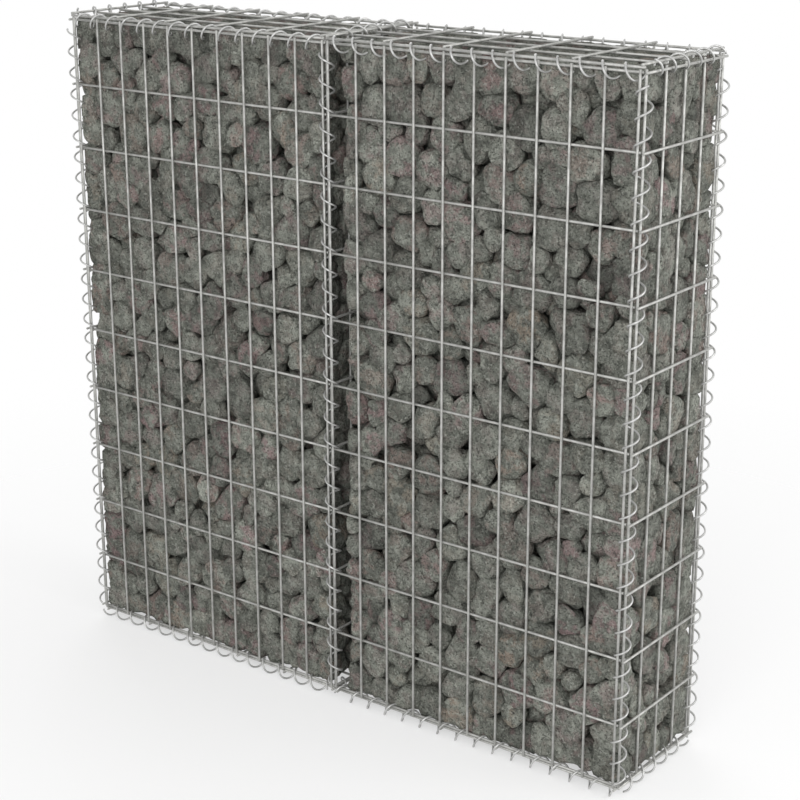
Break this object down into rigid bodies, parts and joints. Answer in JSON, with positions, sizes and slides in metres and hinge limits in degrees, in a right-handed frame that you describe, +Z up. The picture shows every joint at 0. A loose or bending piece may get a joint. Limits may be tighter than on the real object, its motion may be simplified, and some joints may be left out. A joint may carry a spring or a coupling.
{
  "type": "gabion wall",
  "caption": "Free-standing gabion wall of two narrow welded-mesh baskets filled with broken grey stone, laced together at every edge with wire spirals.",
  "frame": {"origin": "centre of the wall's footprint, at the lowest point of the bottom spirals", "axes": "+X along the wall to the right as seen from the front, +Y through the wall from front to back, +Z up"},
  "size_m": [1.0474, 0.2294, 1.0309],
  "materials": {
    "mesh_wire": "dull zinc coating on drawn and welded wire",
    "lacing_wire": "dull zinc coating on coiled wire",
    "stone": "broken grey rock with brown and pink patches"
  },
  "bodies": {
    "root": {"front_panel_left": "mesh_wire", "front_panel_right": "mesh_wire", "back_panel_left": "mesh_wire", "back_panel_right": "mesh_wire", "end_panel_left": "mesh_wire", "end_panel_right": "mesh_wire", "partition_panel": "mesh_wire", "lid_left": "mesh_wire", "lid_right": "mesh_wire", "base_panel_left": "mesh_wire", "base_panel_right": "mesh_wire", "front_left_spiral": "lacing_wire", "front_middle_spiral": "lacing_wire", "front_right_spiral": "lacing_wire", "back_left_spiral": "lacing_wire", "back_middle_spiral": "lacing_wire", "back_right_spiral": "lacing_wire", "top_front_left_spiral": "lacing_wire", "top_front_right_spiral": "lacing_wire", "top_back_left_spiral": "lacing_wire", "top_back_right_spiral": "lacing_wire", "top_left_spiral": "lacing_wire", "top_middle_spiral": "lacing_wire", "top_right_spiral": "lacing_wire", "bottom_front_left_spiral": "lacing_wire", "bottom_front_right_spiral": "lacing_wire", "bottom_back_left_spiral": "lacing_wire", "bottom_back_right_spiral": "lacing_wire", "bottom_left_spiral": "lacing_wire", "bottom_middle_spiral": "lacing_wire", "bottom_right_spiral": "lacing_wire", "stone_fill_left": "stone", "stone_fill_right": "stone"}
  },
  "joints": []
}
